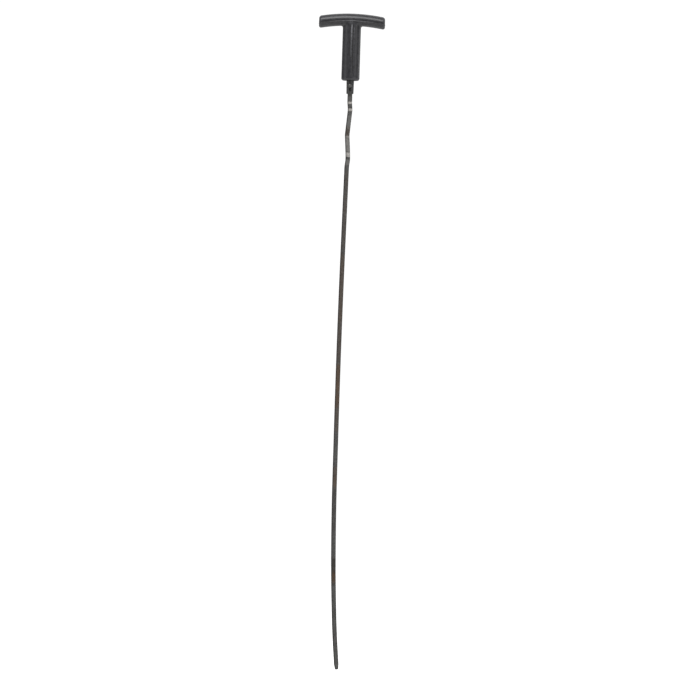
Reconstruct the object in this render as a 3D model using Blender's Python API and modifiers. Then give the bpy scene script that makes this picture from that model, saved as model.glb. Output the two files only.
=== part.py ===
"""Engine oil dipstick: a moulded T-handle whose hollow stem pushes over a guide tube, a carrier pressed up
inside it, and a kinked strip of spring steel riveted to the carrier.

The origin is on the stem's axis, in the plane of its mouth. +Z runs up the handle, +X along its crossbar,
and the blade hangs down towards -Z. Sizes below are in millimetres, and MM turns them into metres.
"""

import math

import bmesh
import bpy
from mathutils import Matrix, Vector

MM = 0.001

# The gap left between two pieces that touch on the real object.
GAP = 0.3

# T-handle: the crossbar.
BAR_LENGTH = 66.0
BAR_HEIGHT = 12.3
BAR_DEPTH = 15.2
BAR_TOP = 67.4
BAR_ARCH_RADIUS = 175.0
BAR_END_ROUNDING = 2.6
BAR_END_SHARE = 0.68
BAR_STEPS = 16

# T-handle: the stem, an oval tube, and the rib on its front and back.
STEM_WIDTH = 18.2
STEM_DEPTH = 16.4
STEM_TOP = 60.0
STEM_EDGE_RADIUS = 2.6
STEM_SHOULDER_RADIUS = 4.0
RIB_RADIUS = 1.1
RIB_PROUD = 0.7
RIB_FOOT = 22.0
RIB_HEAD = 60.5

# The bore that takes the guide tube, and the socket above it that takes the carrier.
TUBE_BORE_RADIUS = 6.6
TUBE_BORE_DEPTH = 34.0
TUBE_BORE_LEAD_IN = 0.8
SOCKET_DEPTH = 16.5

# Carrier: a turned spigot, with two ring grooves, a pocket for the blade and a window in front.
CARRIER_RADIUS = 3.8
CARRIER_FOOT_RADIUS = 3.55
CARRIER_FOOT = -13.0
CARRIER_CHAMFER = 0.6
CARRIER_TOP = 50.0
POCKET_TOP = 6.0
WINDOW_WIDTH = 2.2
WINDOW_TOP = -7.2
WINDOW_FOOT = -10.8

# Seals: two O-rings on the carrier and a washer that the end of the guide tube bears on.
RING_SECTION = 2.2
RING_INNER_RADIUS = 2.75
RING_HEIGHTS = {"lower_o_ring": 9.0, "upper_o_ring": 18.0}
SEAL_OUTER_RADIUS = 6.3
SEAL_THICKNESS = 2.0
SEAL_CHAMFER = 0.25

# Rivet through the carrier and the blade, its head facing the front.
RIVET_HEIGHT = -5.0
RIVET_SHANK_RADIUS = 1.0
RIVET_HEAD_RADIUS = 1.7
RIVET_HEAD_HEIGHT = 0.8
RIVET_SEAT = 3.3

# Blade: a strip with eased edges. It leaves the carrier square to the handle, then twists to BLADE_TURN.
BLADE_WIDTH = 4.76
BLADE_THICKNESS = 1.4
BLADE_EDGE_RADIUS = 0.35
BLADE_TOP = 5.4
BLADE_END = 588.4
BLADE_TURN = math.radians(27.0)
TWIST_START = 13.0
TWIST_END = 24.0
TWIST_STEPS = 6

# Tip: the strip narrows over TIP_LENGTH to TIP_SHARE of its width and ends blunt, with rounded corners.
TIP_LENGTH = 5.5
TIP_SHARE = 0.72
TIP_CORNER_RADIUS = 0.9

# The blade's bends, as (drop below the mouth, bow off the axis, length eased before and after the bend).
# The first six grip the inside of the guide tube, and the rest are the long bow of a used blade.
BLADE_BENDS = (
    (22.0, 0.2, 1.6),
    (29.0, 1.65, 1.8),
    (54.0, -3.3, 1.8),
    (74.0, -0.4, 1.6),
    (79.5, -0.3, 1.6),
    (85.5, -2.1, 1.8),
    (250.0, -7.65, 85.0),
    (429.0, -7.65, 34.0),
    (497.4, -4.25, 28.0),
    (553.6, 2.42, 17.0),
)
BLADE_TIP_BOW = 9.4
SHARP_BEND_STEPS = 4
SLOW_BEND_STEPS = 8
SLOW_BEND_EASE = 10.0

# Colours (linear), roughness and metallic of each material.
FINISHES = {
    "handle_plastic": ((0.050, 0.050, 0.053), 0.42, 0.0),
    "carrier_nylon": ((0.080, 0.080, 0.080), 0.50, 0.0),
    "seal_rubber": ((0.020, 0.020, 0.020), 0.70, 0.0),
    "rivet_steel": ((0.300, 0.300, 0.295), 0.38, 1.0),
    "blade_spring_steel": ((0.150, 0.143, 0.135), 0.45, 1.0),
}


def clear_scene():
    for obj in list(bpy.data.objects):
        bpy.data.objects.remove(obj, do_unlink=True)


def new_collection(name):
    collection = bpy.data.collections.new(name)
    bpy.context.scene.collection.children.link(collection)
    return collection


def new_material(name):
    colour, roughness, metallic = FINISHES[name]
    material = bpy.data.materials.new(name)
    material.use_nodes = True
    shader = material.node_tree.nodes["Principled BSDF"]
    shader.inputs["Base Color"].default_value = (*colour, 1.0)
    shader.inputs["Roughness"].default_value = roughness
    shader.inputs["Metallic"].default_value = metallic
    return material


def add_object(name, data, collection):
    obj = bpy.data.objects.new(name, data)
    collection.objects.link(obj)
    return obj


def mesh_from(build):
    """A mesh filled by build(bm), a function that adds geometry to an empty bmesh."""
    bm = bmesh.new()
    build(bm)
    mesh = bpy.data.meshes.new("mesh")
    bm.to_mesh(mesh)
    bm.free()
    return mesh


def finish(obj, material):
    """The object's own material and smooth shading, with edges over 35 degrees left crisp."""
    obj.data.materials.clear()
    obj.data.materials.append(material)
    obj.data.shade_smooth()
    obj.data.set_sharp_from_angle(angle=math.radians(35.0))


def evaluated_copy(obj):
    """The object's shape with its modifiers applied, as a new welded mesh whose faces all point out."""
    bpy.context.view_layer.update()
    evaluated = obj.evaluated_get(bpy.context.evaluated_depsgraph_get())
    mesh = bpy.data.meshes.new_from_object(evaluated)
    bm = bmesh.new()
    bm.from_mesh(mesh)
    bmesh.ops.remove_doubles(bm, verts=bm.verts, dist=0.001 * MM)
    bmesh.ops.recalc_face_normals(bm, faces=bm.faces)
    bm.to_mesh(mesh)
    bm.free()
    return mesh


def to_mesh_object(curve_object, name, collection):
    """A mesh object in place of a curve object, welded and standing where the curve stood."""
    mesh = evaluated_copy(curve_object)
    place = curve_object.matrix_world.copy()
    bpy.data.objects.remove(curve_object, do_unlink=True)
    obj = add_object(name, mesh, collection)
    obj.matrix_world = place
    return obj


def turned(name, profile, steps, collection):
    """A turned solid. profile lists (radius, height) in mm, down the outer side."""
    closed_loop = min(radius for radius, _ in profile) > 0

    def build(bm):
        verts = [bm.verts.new((radius * MM, 0, height * MM)) for radius, height in profile]
        for start, end in zip(verts, verts[1:]):
            bm.edges.new((start, end))
        if closed_loop:
            bm.edges.new((verts[-1], verts[0]))

    obj = add_object(name, mesh_from(build), collection)
    screw = obj.modifiers.new("turn", "SCREW")
    screw.steps = steps
    screw.render_steps = steps
    screw.use_merge_vertices = True
    screw.merge_threshold = 0.001 * MM
    return obj


def tube_along(name, points, radius, radius_shares, sides_resolution, collection):
    """A round rod along points, in mm. radius_shares scales its radius at each point."""
    curve = bpy.data.curves.new(name, "CURVE")
    curve.dimensions = "3D"
    curve.bevel_depth = radius * MM
    curve.bevel_resolution = sides_resolution
    curve.use_fill_caps = True
    spline = curve.splines.new("POLY")
    spline.points.add(len(points) - 1)
    for place, (point, share) in enumerate(zip(points, radius_shares)):
        spline.points[place].co = (*(Vector(point) * MM), 1.0)
        spline.points[place].radius = share
    return to_mesh_object(add_object(name + "_curve", curve, collection), name, collection)


def make_cutter(obj):
    obj.hide_render = True
    obj.display_type = "WIRE"
    return obj


def combine(obj, other, operation):
    boolean = obj.modifiers.new(other.name, "BOOLEAN")
    boolean.operation = operation
    boolean.object = other


def scaled(obj, x=1.0, y=1.0, z=1.0):
    """The object's shape with its modifiers applied, then stretched."""
    mesh = evaluated_copy(obj)
    mesh.transform(Matrix.Diagonal((x, y, z, 1.0)))
    obj.modifiers.clear()
    obj.data = mesh
    return obj


def box_cutter(name, low, high, collection):
    """A box between two corners, in mm."""
    size = [b - a for a, b in zip(low, high)]
    middle = [(a + b) / 2 for a, b in zip(low, high)]

    def build(bm):
        bmesh.ops.create_cube(bm, size=MM)
        bmesh.ops.scale(bm, vec=size, verts=bm.verts)
        bmesh.ops.translate(bm, vec=Vector(middle) * MM, verts=bm.verts)

    return make_cutter(add_object(name, mesh_from(build), collection))


def rod_cutter(name, radius, start, end, collection, sides=32):
    """A cylinder from start to end, in mm."""
    axis = Vector(end) - Vector(start)

    def build(bm):
        size = radius * MM
        bmesh.ops.create_cone(
            bm, cap_ends=True, segments=sides, radius1=size, radius2=size, depth=axis.length * MM
        )

    obj = make_cutter(add_object(name, mesh_from(build), collection))
    obj.location = (Vector(start) + axis / 2) * MM
    obj.rotation_euler = axis.to_track_quat("Z", "Y").to_euler()
    return obj


def arc_points(centre, radius, start_degrees, end_degrees, steps):
    """Points (radius, height) round an arc, both ends included."""
    points = []
    for step in range(steps + 1):
        angle = math.radians(start_degrees + (end_degrees - start_degrees) * step / steps)
        points.append((centre[0] + radius * math.cos(angle), centre[1] + radius * math.sin(angle)))
    return points


def bar_points():
    """A straight line along the crossbar, with how full its section is at each point: less near its ends."""
    half = BAR_LENGTH / 2
    quarter = [math.radians(degrees) for degrees in (0, 25, 50, 70, 90)]
    end_places = [half - BAR_END_ROUNDING * (1 - math.sin(turn)) for turn in quarter]
    end_shares = [BAR_END_SHARE + (1 - BAR_END_SHARE) * math.cos(turn) for turn in quarter]
    middle = [end_places[0] * (2 * step / BAR_STEPS - 1) for step in range(1, BAR_STEPS)]
    places = [-place for place in reversed(end_places)] + middle + end_places
    shares = list(reversed(end_shares)) + [1.0] * len(middle) + end_shares
    return [(place, 0, BAR_TOP - BAR_HEIGHT / 2) for place in places], shares


def arch(mesh):
    """Lets the bar droop towards its ends, which stay upright."""
    for vert in mesh.vertices:
        vert.co.z -= vert.co.x**2 / (2 * BAR_ARCH_RADIUS * MM)


def make_t_handle(parts, cutters, material):
    points, shares = bar_points()
    bar = tube_along("t_handle", points, BAR_HEIGHT / 2, shares, 10, parts)
    scaled(bar, y=BAR_DEPTH / BAR_HEIGHT)
    arch(bar.data)

    radius = STEM_WIDTH / 2
    shoulder = arc_points(
        (radius - STEM_SHOULDER_RADIUS, STEM_TOP - STEM_SHOULDER_RADIUS), STEM_SHOULDER_RADIUS, 90, 0, 5
    )
    mouth_edge = arc_points((radius - STEM_EDGE_RADIUS, STEM_EDGE_RADIUS), STEM_EDGE_RADIUS, 0, -90, 5)
    stem = turned("stem_blank", [(0, STEM_TOP), *shoulder, *mouth_edge, (0, 0)], 48, cutters)
    make_cutter(scaled(stem, y=STEM_DEPTH / STEM_WIDTH))
    combine(bar, stem, "UNION")

    stem_face = STEM_DEPTH / 2 + RIB_PROUD - RIB_RADIUS
    bar_face = BAR_DEPTH / 2 - RIB_RADIUS
    for side, name in ((-1, "front_rib"), (1, "back_rib")):
        rib_line = [
            (0, side * (stem_face - 1.5), RIB_FOOT),
            (0, side * stem_face, RIB_FOOT + 2.5),
            (0, side * stem_face, STEM_TOP - 2 * STEM_SHOULDER_RADIUS),
            (0, side * bar_face, RIB_HEAD),
        ]
        rib = tube_along(name, rib_line, RIB_RADIUS, [1.0] * len(rib_line), 3, cutters)
        combine(bar, make_cutter(rib), "UNION")

    lead_in = TUBE_BORE_RADIUS + TUBE_BORE_LEAD_IN
    socket_radius = CARRIER_RADIUS + GAP
    bore = turned(
        "tube_bore",
        [
            (0, TUBE_BORE_DEPTH + SOCKET_DEPTH),
            (socket_radius, TUBE_BORE_DEPTH + SOCKET_DEPTH),
            (socket_radius, TUBE_BORE_DEPTH),
            (TUBE_BORE_RADIUS, TUBE_BORE_DEPTH),
            (TUBE_BORE_RADIUS, TUBE_BORE_LEAD_IN),
            (lead_in + TUBE_BORE_LEAD_IN, -TUBE_BORE_LEAD_IN),
            (0, -TUBE_BORE_LEAD_IN),
        ],
        48,
        cutters,
    )
    combine(bar, make_cutter(bore), "DIFFERENCE")
    finish(bar, material)


def make_carrier(parts, cutters, material):
    groove_radius = RING_INNER_RADIUS - GAP
    groove_half = RING_SECTION / 2 + GAP
    profile = [
        (0, CARRIER_TOP),
        (CARRIER_RADIUS - CARRIER_CHAMFER, CARRIER_TOP),
        (CARRIER_RADIUS, CARRIER_TOP - CARRIER_CHAMFER),
    ]
    for height in sorted(RING_HEIGHTS.values(), reverse=True):
        profile += [
            (CARRIER_RADIUS, height + groove_half),
            (groove_radius, height + groove_half),
            (groove_radius, height - groove_half),
            (CARRIER_RADIUS, height - groove_half),
        ]
    profile += [
        (CARRIER_RADIUS, 0),
        (CARRIER_FOOT_RADIUS, CARRIER_FOOT + CARRIER_CHAMFER),
        (CARRIER_FOOT_RADIUS - CARRIER_CHAMFER / 3, CARRIER_FOOT),
        (0, CARRIER_FOOT),
    ]
    carrier = turned("blade_carrier", profile, 32, parts)

    past_foot = CARRIER_FOOT - 1
    pocket_half_width = BLADE_WIDTH / 2 + GAP
    pocket_half_depth = BLADE_THICKNESS / 2 + GAP
    combine(
        carrier,
        box_cutter(
            "blade_pocket",
            (-pocket_half_width, -pocket_half_depth, past_foot),
            (pocket_half_width, pocket_half_depth, POCKET_TOP),
            cutters,
        ),
        "DIFFERENCE",
    )
    combine(
        carrier,
        box_cutter(
            "front_window",
            (-WINDOW_WIDTH / 2, -CARRIER_RADIUS - 1, WINDOW_FOOT),
            (WINDOW_WIDTH / 2, -pocket_half_depth / 2, WINDOW_TOP),
            cutters,
        ),
        "DIFFERENCE",
    )
    reach = CARRIER_RADIUS + 1
    combine(
        carrier,
        rod_cutter(
            "carrier_rivet_hole",
            RIVET_SHANK_RADIUS + GAP,
            (0, -reach, RIVET_HEIGHT),
            (0, reach, RIVET_HEIGHT),
            cutters,
            24,
        ),
        "DIFFERENCE",
    )
    for side, name in ((-1, "front_rivet_seat"), (1, "back_rivet_seat")):
        seat = rod_cutter(
            name,
            RIVET_HEAD_RADIUS + GAP,
            (0, side * RIVET_SEAT, RIVET_HEIGHT),
            (0, side * reach, RIVET_HEIGHT),
            cutters,
            24,
        )
        combine(carrier, seat, "DIFFERENCE")
    finish(carrier, material)


def make_seals(parts, material):
    for name, height in RING_HEIGHTS.items():
        bpy.ops.mesh.primitive_torus_add(
            major_radius=(RING_INNER_RADIUS + RING_SECTION / 2) * MM,
            minor_radius=RING_SECTION / 2 * MM,
            major_segments=40,
            minor_segments=12,
            location=(0, 0, height * MM),
        )
        ring = bpy.context.object
        ring.name = name
        for collection in list(ring.users_collection):
            collection.objects.unlink(ring)
        parts.objects.link(ring)
        finish(ring, material)

    top = TUBE_BORE_DEPTH - GAP
    foot = top - SEAL_THICKNESS
    inner = CARRIER_RADIUS + GAP
    outer = SEAL_OUTER_RADIUS
    seal = turned(
        "tube_seal",
        [
            (inner, top),
            (outer - SEAL_CHAMFER, top),
            (outer, top - SEAL_CHAMFER),
            (outer, foot + SEAL_CHAMFER),
            (outer - SEAL_CHAMFER, foot),
            (inner, foot),
        ],
        48,
        parts,
    )
    finish(seal, material)


def make_rivet(parts, material):
    """A turned rivet, its axis turned from Z to Y so that the domed head faces the front."""
    head_foot = RIVET_SEAT + GAP
    half_chord = RIVET_HEAD_RADIUS
    dome_radius = (half_chord**2 + RIVET_HEAD_HEIGHT**2) / (2 * RIVET_HEAD_HEIGHT)
    dome_angle = math.degrees(math.asin(half_chord / dome_radius))
    dome_centre = head_foot + RIVET_HEAD_HEIGHT - dome_radius
    front_dome = arc_points((0, dome_centre), dome_radius, 90, 90 - dome_angle, 5)
    back_dome = [(radius, -height) for radius, height in reversed(front_dome)]
    front_dome[0] = (0, front_dome[0][1])
    back_dome[-1] = (0, back_dome[-1][1])
    profile = [*front_dome, (RIVET_SHANK_RADIUS, head_foot), (RIVET_SHANK_RADIUS, -head_foot), *back_dome]
    rivet = turned("blade_rivet", profile, 24, parts)
    rivet.location = (0, 0, RIVET_HEIGHT * MM)
    rivet.rotation_euler = (math.radians(90.0), 0, 0)
    finish(rivet, material)


def blade_route():
    """Points (drop, bow) down the blade's centreline: straight runs, with a parabola at each bend."""
    ends = Vector((-BLADE_TOP, 0)), Vector((BLADE_END, BLADE_TIP_BOW))
    corners = [ends[0], *(Vector(bend[:2]) for bend in BLADE_BENDS), ends[1]]
    route = [corners[0]]
    for step in range(TWIST_STEPS + 1):
        drop = TWIST_START + (BLADE_BENDS[0][0] - BLADE_BENDS[0][2] - TWIST_START) * step / (TWIST_STEPS + 1)
        route.append(corners[0].lerp(corners[1], (drop + BLADE_TOP) / (corners[1].x + BLADE_TOP)))
    for before, corner, after, bend in zip(corners, corners[1:], corners[2:], BLADE_BENDS):
        ease = bend[2]
        entry = corner + (before - corner).normalized() * ease
        leave = corner + (after - corner).normalized() * ease
        steps = SLOW_BEND_STEPS if ease > SLOW_BEND_EASE else SHARP_BEND_STEPS
        for step in range(steps + 1):
            t = step / steps
            route.append(entry * (1 - t) ** 2 + corner * 2 * t * (1 - t) + leave * t**2)
    route.append(corners[-1])
    return route


def twist_at(drop):
    """How far the strip is still turned back towards the handle's plane, in radians."""
    share = min(max((drop - TWIST_START) / (TWIST_END - TWIST_START), 0.0), 1.0)
    return BLADE_TURN * (1 - share * share * (3 - 2 * share))


def strip_section(collection):
    """The strip's outline, a rectangle with rounded corners."""
    far = BLADE_WIDTH / 2 - BLADE_EDGE_RADIUS
    high = BLADE_THICKNESS / 2 - BLADE_EDGE_RADIUS
    corners = []
    for centre, start in (((far, -high), -90), ((far, high), 0), ((-far, high), 90), ((-far, -high), 180)):
        corners += arc_points(centre, BLADE_EDGE_RADIUS, start, start + 90, 3)
    outline = bpy.data.curves.new("strip_section", "CURVE")
    outline.dimensions = "2D"
    spline = outline.splines.new("POLY")
    spline.points.add(len(corners) - 1)
    for point, (x, y) in zip(spline.points, corners):
        point.co = (x * MM, y * MM, 0, 1)
    spline.use_cyclic_u = True
    return make_cutter(add_object("strip_section", outline, collection))


def blade_place():
    """The blade is drawn along its own X, bowing along its own Y. This stands it on the handle's axis."""
    down = Vector((0, 0, -1))
    outward = Vector((math.sin(BLADE_TURN), -math.cos(BLADE_TURN), 0))
    across = down.cross(outward)
    return Matrix((down, outward, across)).transposed().to_4x4()


def tip_cutter(place, collection):
    """A plate with a tapering notch, which leaves the blade's end narrowed, with rounded corners."""
    half_width = BLADE_WIDTH / 2
    end_half_width = TIP_SHARE * half_width
    last_bend = Vector(BLADE_BENDS[-1][:2])
    tip = Vector((BLADE_END, BLADE_TIP_BOW))
    lean = (tip - last_bend).angle_signed(Vector((1, 0)))
    outline = bpy.data.curves.new("tip_outline", "CURVE")
    outline.dimensions = "2D"
    outline.fill_mode = "BOTH"
    outline.extrude = BLADE_WIDTH * MM
    corner_x = TIP_LENGTH - TIP_CORNER_RADIUS
    corner_y = end_half_width - TIP_CORNER_RADIUS
    notch = [
        (0, half_width),
        *arc_points((corner_x, corner_y), TIP_CORNER_RADIUS, 80, 0, 5),
        *arc_points((corner_x, -corner_y), TIP_CORNER_RADIUS, 0, -80, 5),
        (0, -half_width),
    ]
    corners = [(0, -2 * half_width), (2 * TIP_LENGTH, -2 * half_width), (2 * TIP_LENGTH, 2 * half_width)]
    points = [*notch, *corners, (0, 2 * half_width)]
    spline = outline.splines.new("POLY")
    spline.points.add(len(points) - 1)
    for point, (x, y) in zip(spline.points, points):
        point.co = ((x - TIP_LENGTH) * MM, y * MM, 0, 1)
    spline.use_cyclic_u = True
    curve_object = add_object("tip_curve", outline, collection)
    curve_object.matrix_world = (
        place
        @ Matrix.Translation((tip.x * MM, tip.y * MM, 0))
        @ Matrix.Rotation(lean, 4, "Z")
        @ Matrix.Rotation(math.radians(90.0), 4, "X")
    )
    return make_cutter(to_mesh_object(curve_object, "tip_notch", collection))


def make_blade(parts, cutters, material):
    curve = bpy.data.curves.new("blade", "CURVE")
    curve.dimensions = "3D"
    curve.twist_mode = "Z_UP"
    curve.bevel_mode = "OBJECT"
    curve.bevel_object = strip_section(cutters)
    curve.use_fill_caps = True
    route = blade_route()
    spline = curve.splines.new("POLY")
    spline.points.add(len(route) - 1)
    for point, place in zip(spline.points, route):
        point.co = (place.x * MM, place.y * MM, 0, 1)
        point.tilt = math.radians(90.0) + twist_at(place.x)
    curve_object = add_object("blade_curve", curve, parts)
    stand = blade_place()
    curve_object.matrix_world = stand
    blade = to_mesh_object(curve_object, "blade", parts)
    reach = BLADE_THICKNESS
    hole = rod_cutter(
        "blade_rivet_hole",
        RIVET_SHANK_RADIUS + GAP,
        (0, -reach, RIVET_HEIGHT),
        (0, reach, RIVET_HEIGHT),
        cutters,
        24,
    )
    combine(blade, hole, "DIFFERENCE")
    combine(blade, tip_cutter(stand, cutters), "DIFFERENCE")
    finish(blade, material)


def main():
    clear_scene()
    parts = new_collection("oil_dipstick")
    cutters = new_collection("cutters")
    materials = {name: new_material(name) for name in FINISHES}
    make_t_handle(parts, cutters, materials["handle_plastic"])
    make_carrier(parts, cutters, materials["carrier_nylon"])
    make_seals(parts, materials["seal_rubber"])
    make_rivet(parts, materials["rivet_steel"])
    make_blade(parts, cutters, materials["blade_spring_steel"])


main()
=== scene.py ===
"""The finished look of an engine oil dipstick: a moulded T-handle, its carrier, seals and rivet, and a kinked
strip of stained spring steel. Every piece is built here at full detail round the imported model, in metres.

Run it as a script. Its panel, "Dipstick", lists one operator for each piece and one for the studio.
"""

import math

import bmesh
import bpy
import numpy as np
from bpy.props import FloatProperty, FloatVectorProperty, IntProperty, PointerProperty
from mathutils import Matrix, Vector


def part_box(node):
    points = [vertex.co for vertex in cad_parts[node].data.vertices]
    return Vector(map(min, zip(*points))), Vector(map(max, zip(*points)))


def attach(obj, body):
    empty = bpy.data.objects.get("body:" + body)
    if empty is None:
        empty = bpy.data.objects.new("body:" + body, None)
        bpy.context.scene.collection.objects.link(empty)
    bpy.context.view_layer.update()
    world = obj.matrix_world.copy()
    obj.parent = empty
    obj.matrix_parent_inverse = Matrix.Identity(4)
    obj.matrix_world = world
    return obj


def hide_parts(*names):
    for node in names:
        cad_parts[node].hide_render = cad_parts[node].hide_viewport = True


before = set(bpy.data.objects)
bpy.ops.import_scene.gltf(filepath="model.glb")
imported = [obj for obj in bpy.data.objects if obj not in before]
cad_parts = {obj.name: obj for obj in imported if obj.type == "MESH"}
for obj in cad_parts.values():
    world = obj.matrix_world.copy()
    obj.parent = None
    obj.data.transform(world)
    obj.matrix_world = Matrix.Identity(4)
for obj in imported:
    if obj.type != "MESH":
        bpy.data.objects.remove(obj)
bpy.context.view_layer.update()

bl_info = {
    "name": "Engine Oil Dipstick",
    "version": (1, 0, 0),
    "blender": (4, 5, 0),
    "location": "View3D > Sidebar > Dipstick",
    "description": "Builds an engine oil dipstick with a moulded T-handle and a stained steel blade",
    "category": "Add Mesh",
}

MM = 0.001
BODY = "root"

HANDLE_LOW, HANDLE_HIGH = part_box("t_handle")
CARRIER_LOW, CARRIER_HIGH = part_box("blade_carrier")
SEAL_LOW, SEAL_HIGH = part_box("tube_seal")
RIVET_LOW, RIVET_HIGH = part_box("blade_rivet")
BLADE_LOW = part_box("blade")[0]
RING_NODES = ("lower_o_ring", "upper_o_ring")

# The blade's bends, as (drop below the stem's mouth, bow off the axis, length eased either side), in mm.
# The first six grip the inside of the guide tube, and the rest are the long bow of a used blade.
BLADE_BENDS = (
    (22.0, 0.2, 1.6),
    (29.0, 1.65, 1.8),
    (54.0, -3.3, 1.8),
    (74.0, -0.4, 1.6),
    (79.5, -0.3, 1.6),
    (85.5, -2.1, 1.8),
    (250.0, -7.65, 85.0),
    (429.0, -7.65, 34.0),
    (497.4, -4.25, 28.0),
    (553.6, 2.42, 17.0),
)

# Bands down the blade, as (start, end, strength), with both ends in mm along it from its upper end: paler
# steel, with painted light where the carrier shades the strip; bright steel from the guide tube's rubbing,
# with painted glints at the bends; brown baked oil and rust; and films of dark oil.
PALE_AND_LIT_BANDS = ((18.5, 25.4, 0.75), (36.0, 40.0, 0.3), (40.7, 53.2, 0.9), (85.3, 89.9, 1.0))
RUBBED_AND_GLINT_BANDS = (
    (17.0, 22.0, 0.06),
    (26.6, 28.0, 0.85),
    (33.8, 35.2, 0.85),
    (61.3, 62.4, 0.45),
    (62.7, 76.6, 0.29),
    (78.3, 81.9, 0.75),
)
BROWN_BANDS = (
    (53.6, 58.8, 0.35),
    (100.0, 174.0, 0.19),
    (182.0, 246.0, 0.42),
    (246.0, 284.0, 0.30),
    (291.0, 332.0, 0.78),
    (338.0, 354.0, 0.32),
    (398.0, 412.0, 0.50),
    (499.5, 508.0, 1.00),
)
OIL_BANDS = ((416.0, 456.0, 0.30), (484.0, 498.0, 0.75), (498.0, 512.0, 0.38), (557.0, 577.0, 0.22))


def length(name, description, default_mm):
    """A length property. Its default is given in millimetres and kept in metres."""
    default = default_mm * MM
    return FloatProperty(name=name, description=description, default=default, unit="LENGTH", precision=5)


def angle(name, description, degrees):
    return FloatProperty(name=name, description=description, default=math.radians(degrees), subtype="ANGLE")


def number(name, description, default):
    return FloatProperty(name=name, description=description, default=default)


def share(name, description, default):
    limits = {"subtype": "FACTOR", "min": 0.0, "max": 1.0}
    return FloatProperty(name=name, description=description, default=default, **limits)


def whole_number(name, description, default):
    return IntProperty(name=name, description=description, default=default, min=2)


def colour(name, description, default):
    limits = {"subtype": "COLOR", "min": 0.0, "max": 1.0}
    return FloatVectorProperty(name=name, description=description, default=default, size=3, **limits)


class HandleSettings(bpy.types.PropertyGroup):
    bar_height: length("Bar height", "Height of the crossbar's oval section", 12.3)
    bar_depth: length("Bar depth", "Depth of the crossbar's oval section", 15.2)
    arch_radius: length("Arch radius", "Radius of the crossbar's arch along its length", 175.0)
    end_rounding: length("End rounding", "Edge radius at the crossbar's ends", 2.4)
    stem_width: length("Stem width", "Width of the stem's oval section", 18.2)
    stem_depth: length("Stem depth", "Depth of the stem's oval section", 16.4)
    stem_top: length("Stem top", "Height of the stem's upper end, inside the crossbar", 60.0)
    shoulder_radius: length("Shoulder radius", "Edge radius at the stem's top", 4.0)
    mouth_radius: length("Mouth radius", "Edge radius at the stem's mouth", 2.6)
    rib_radius: length("Rib radius", "Radius of the rib on the stem's front and back", 1.1)
    rib_proud: length("Rib height", "How far the rib stands out of the stem", 0.7)
    rib_foot: length("Rib foot", "Height of the rib's lower end", 22.0)
    rib_head: length("Rib head", "Height of the rib's upper end, on the crossbar", 60.5)
    bore_radius: length("Bore radius", "Radius of the bore for the guide tube", 6.6)
    bore_depth: length("Bore depth", "Depth of the bore for the guide tube", 34.0)
    socket_radius: length("Socket radius", "Radius of the carrier's socket", 4.1)
    socket_top: length("Socket top", "Height of that socket's closed end", 50.5)
    lead_in: length("Lead-in", "Width of the chamfer at the bore's mouth", 0.8)
    fillet: length("Fillet", "How softly the crossbar and the stem run together", 2.4)
    seam_height: length("Seam height", "How far the parting line stands out", 0.2)
    seam_drop: length("Seam drop", "Drop of the parting line below the bar's middle", 1.7)
    seam_width: length("Seam width", "Half the width of the parting line", 0.42)
    witness_depth: length("Witness depth", "Depth of the witness line beside the front rib", 0.34)
    witness_width: length("Witness width", "Half the width of the witness line", 0.7)
    witness_place: length("Witness place", "Distance of the witness line from the axis", 1.5)
    voxel: length("Mesh size", "Size of the handle's mesh cells", 0.42)
    base: colour("Plastic", "Colour of the moulded plastic", (0.0212, 0.0212, 0.0243))
    # Also the colour of the painted highlight along the rib and the parting line.
    scuffed_and_highlit: colour("Scuffed_and_highlit plastic", "Colour where the plastic is rubbed", (0.165, 0.165, 0.177))


class CarrierSettings(bpy.types.PropertyGroup):
    foot_radius: length("Foot radius", "Radius of the carrier at its lower end", 3.55)
    chamfer: length("Chamfer", "Edge rounding at the carrier's ends", 0.35)
    groove_radius: length("Groove radius", "Radius at the floor of each O-ring groove", 2.45)
    groove_half: length("Groove half-width", "Half the width of each O-ring groove", 1.4)
    pocket_top: length("Pocket top", "Height of the blade pocket's closed end", 6.0)
    pocket_gap: length("Pocket gap", "Room round the blade in its pocket", 0.3)
    window_width: length("Window width", "Width of the window in the carrier's front", 2.2)
    window_top: length("Window top", "Height of the window's upper edge", -7.2)
    window_foot: length("Window foot", "Height of the window's lower edge", -10.8)
    rivet_hole: length("Rivet hole", "Radius of the hole for the rivet", 1.3)
    seat_radius: length("Seat radius", "Radius of the flat under the rivet's head", 2.0)
    seat_depth: length("Seat depth", "Distance of that flat from the axis", 3.3)
    voxel: length("Mesh size", "Size of the carrier's mesh cells", 0.19)
    base: colour("Nylon", "Colour of the carrier", (0.030, 0.030, 0.029))
    # Also the colour of the painted highlight on the carrier's edges.
    rubbed_and_highlit: colour("Rubbed_and_highlit nylon", "Colour where the carrier is rubbed", (0.070, 0.070, 0.067))


class SealSettings(bpy.types.PropertyGroup):
    section: length("Ring section", "Thickness of an O-ring's round section", 2.2)
    flash: length("Flash", "Height of the moulding flash round each O-ring", 0.05)
    edge: length("Washer edge", "Edge rounding of the tube seal", 0.3)
    wall: length("Washer width", "Width of the tube seal's ring", 2.2)
    print_depth: length("Print depth", "Depth of the guide tube's print in the seal", 0.12)
    base: colour("Rubber", "Colour of the seals", (0.016, 0.016, 0.016))


class RivetSettings(bpy.types.PropertyGroup):
    shank_radius: length("Shank radius", "Radius of the rivet's shank", 1.0)
    head_radius: length("Head radius", "Radius of the rivet's domed head", 1.7)
    head_height: length("Head height", "Height of the rivet's domed head", 0.8)
    lip: length("Lip", "Height of the head's upright lip", 0.14)
    dimple: length("Dimple", "Depth of the mark in the rivet's tail", 0.35)
    base: colour("Rivet", "Colour of the rivet's dulled plating", (0.17, 0.17, 0.165))


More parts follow.
